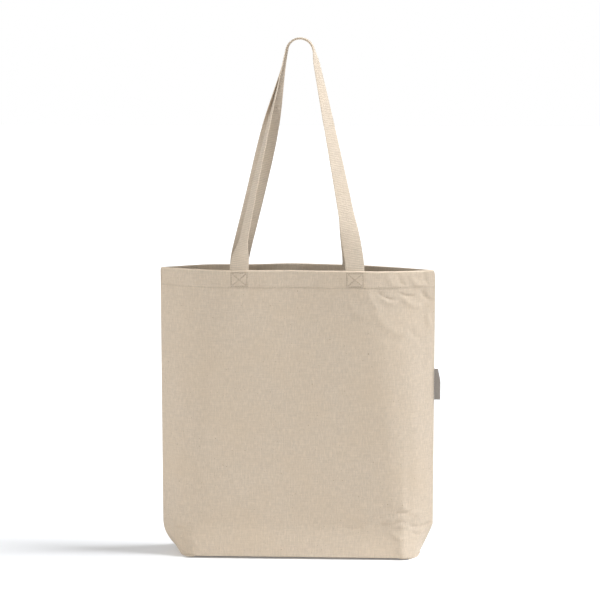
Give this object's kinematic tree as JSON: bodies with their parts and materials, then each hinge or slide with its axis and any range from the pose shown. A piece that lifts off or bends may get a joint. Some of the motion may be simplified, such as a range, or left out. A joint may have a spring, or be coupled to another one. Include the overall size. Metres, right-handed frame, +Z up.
{
  "type": "canvas tote bag",
  "caption": "Standing canvas tote bag with a boxed base, hemmed rim, webbing shoulder handles and a blank side label.",
  "frame": {"origin": "on the surface the bag stands on, under the middle of the base", "axes": "+Z up through the mouth, -Y out of the front panel, +X towards the seam with the label"},
  "size_m": [0.3769, 0.08, 0.6956],
  "materials": {
    "canvas": "undyed plain-weave cotton canvas, matt",
    "webbing": "undyed twill-woven cotton webbing, matt",
    "thread": "undyed cotton sewing thread",
    "overlock": "canvas edge wrapped in overlock thread",
    "label_tape": "grey woven tape, blank"
  },
  "bodies": {
    "bag": {"front_panel": "canvas", "back_panel": "canvas", "front_hem_stitch": "thread", "back_hem_stitch": "thread", "front_left_handle_tail": "webbing", "front_right_handle_tail": "webbing", "back_left_handle_tail": "webbing", "back_right_handle_tail": "webbing", "front_left_box_stitch": "thread", "front_right_box_stitch": "thread", "back_left_box_stitch": "thread", "back_right_box_stitch": "thread", "left_side_seam": "overlock", "right_side_seam": "overlock", "left_corner_seam": "overlock", "right_corner_seam": "overlock", "bottom_seam": "overlock"},
    "front_handle": {"front_handle": "webbing"},
    "back_handle": {"back_handle": "webbing"},
    "label": {"side_label": "label_tape"}
  },
  "joints": [
    {"name": "front_handle_swing", "type": "hinge", "parent": "bag", "child": "front_handle", "pos_m": [0, -0.0316, 0.39], "axis": [1, 0, 0], "range_deg": [0, 180]},
    {"name": "back_handle_swing", "type": "hinge", "parent": "bag", "child": "back_handle", "pos_m": [0, 0.0316, 0.39], "axis": [-1, 0, 0], "range_deg": [0, 180]},
    {"name": "label_flex", "type": "hinge", "parent": "bag", "child": "label", "pos_m": [0.1851, 0, 0.233], "axis": [0, 0, 1], "range_deg": [-75, 75]}
  ]
}
